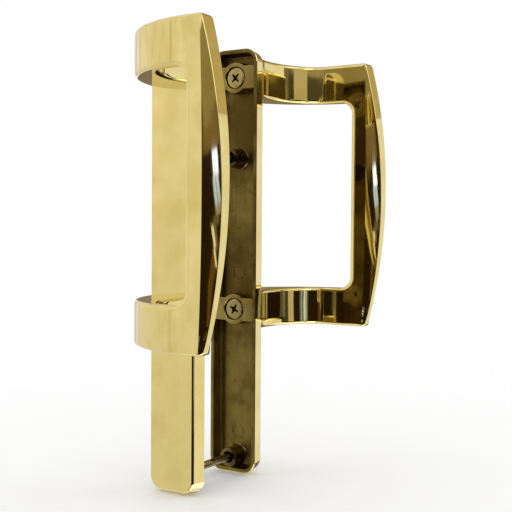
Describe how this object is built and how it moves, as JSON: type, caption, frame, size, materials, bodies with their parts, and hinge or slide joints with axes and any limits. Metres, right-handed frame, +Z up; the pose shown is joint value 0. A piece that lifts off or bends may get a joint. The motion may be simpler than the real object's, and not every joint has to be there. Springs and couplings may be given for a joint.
{
  "type": "sliding patio door handle",
  "caption": "Two mirrored pull handles on long narrow plates, clamped on either side of a sliding patio door by bolts.",
  "frame": {"origin": "middle of the door's thickness, on the plates' upright centre line, halfway up the plates", "axes": "+X along the door towards the grips, +Y through the door from the exterior half to the interior half, +Z up"},
  "size_m": [0.0815, 0.1684, 0.238],
  "materials": {
    "plate_brass": "polished and lacquered outside, dull as cast inside",
    "pull_brass": "mirror polished",
    "screw_steel": "brass-plated steel, slightly dulled",
    "bolt_steel": "brass-plated steel, slightly dulled"
  },
  "bodies": {
    "root": {"exterior_plate": "plate_brass", "exterior_pull": "pull_brass", "exterior_pull_screw_upper": "screw_steel", "exterior_pull_screw_lower": "screw_steel", "interior_plate": "plate_brass", "interior_pull": "pull_brass", "interior_pull_screw_upper": "screw_steel", "interior_pull_screw_lower": "screw_steel", "through_bolt_upper": "bolt_steel", "through_bolt_lower": "bolt_steel"}
  },
  "joints": []
}
